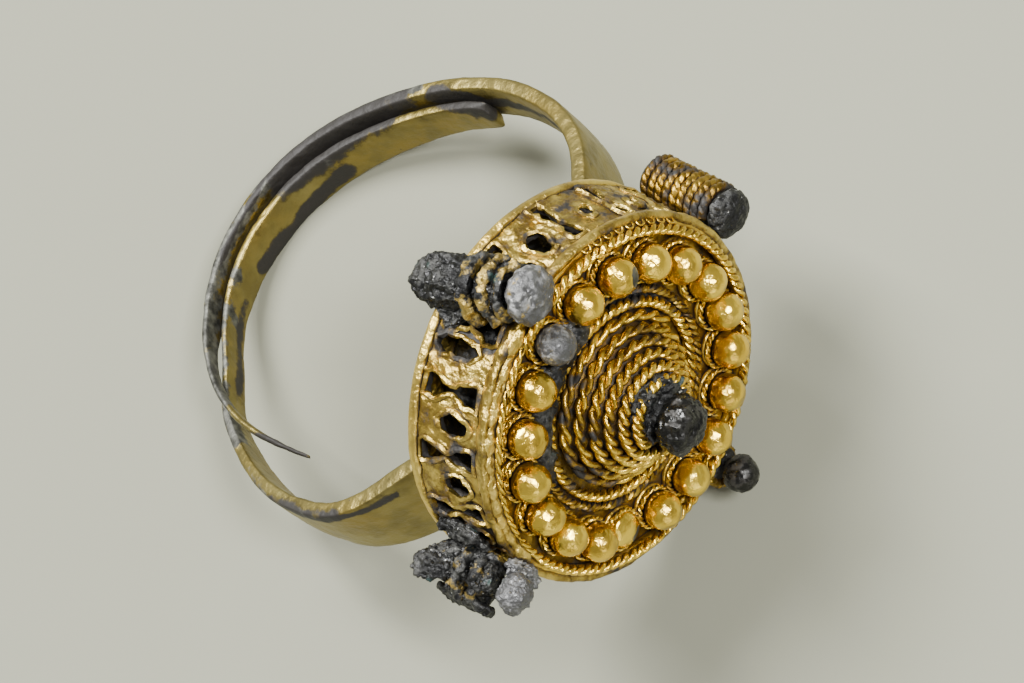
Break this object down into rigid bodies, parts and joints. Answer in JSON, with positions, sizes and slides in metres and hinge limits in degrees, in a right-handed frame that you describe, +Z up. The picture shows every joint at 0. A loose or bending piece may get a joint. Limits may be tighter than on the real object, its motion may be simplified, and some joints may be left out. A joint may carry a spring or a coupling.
{
  "type": "finger ring",
  "caption": "Antique gold finger ring: strip hoop under a round openwork bezel that carries granules, twisted wires, a cone with a ball and four corner turrets.",
  "frame": {"origin": "middle of the ring's bounding box on the surface it lies on", "axes": "+X from the hoop towards the bezel, +Y across the hoop towards the upper turret, +Z up from the surface"},
  "size_m": [0.0272, 0.021, 0.0197],
  "materials": {
    "bright_gold": "satin",
    "pale_gold": "matte",
    "dark_crust": "rough",
    "grey_crust": "rough"
  },
  "bodies": {
    "root": {"hoop": "pale_gold", "base_plate": "pale_gold", "openwork_wall": "bright_gold", "top_plate": "bright_gold", "rim_wire": "bright_gold", "rim_rope": "bright_gold", "granule_01": "bright_gold", "granule_02": "grey_crust", "granule_03": "bright_gold", "granule_04": "bright_gold", "granule_05": "bright_gold", "granule_06": "bright_gold", "granule_07": "bright_gold", "granule_08": "bright_gold", "granule_09": "bright_gold", "granule_10": "bright_gold", "granule_11": "bright_gold", "granule_12": "bright_gold", "granule_13": "bright_gold", "granule_14": "bright_gold", "granule_15": "bright_gold", "granule_16": "bright_gold", "granule_17": "bright_gold", "granule_18": "bright_gold", "granule_19": "bright_gold", "cone_core": "bright_gold", "cone_wire": "bright_gold", "cone_ball": "dark_crust", "upper_turret_tube": "bright_gold", "upper_turret_ball": "dark_crust", "rear_turret_tube": "pale_gold", "rear_turret_ball": "dark_crust", "front_turret_tube": "dark_crust", "front_turret_ball": "dark_crust", "lower_turret_tube": "dark_crust", "lower_turret_ball": "dark_crust"}
  },
  "joints": []
}
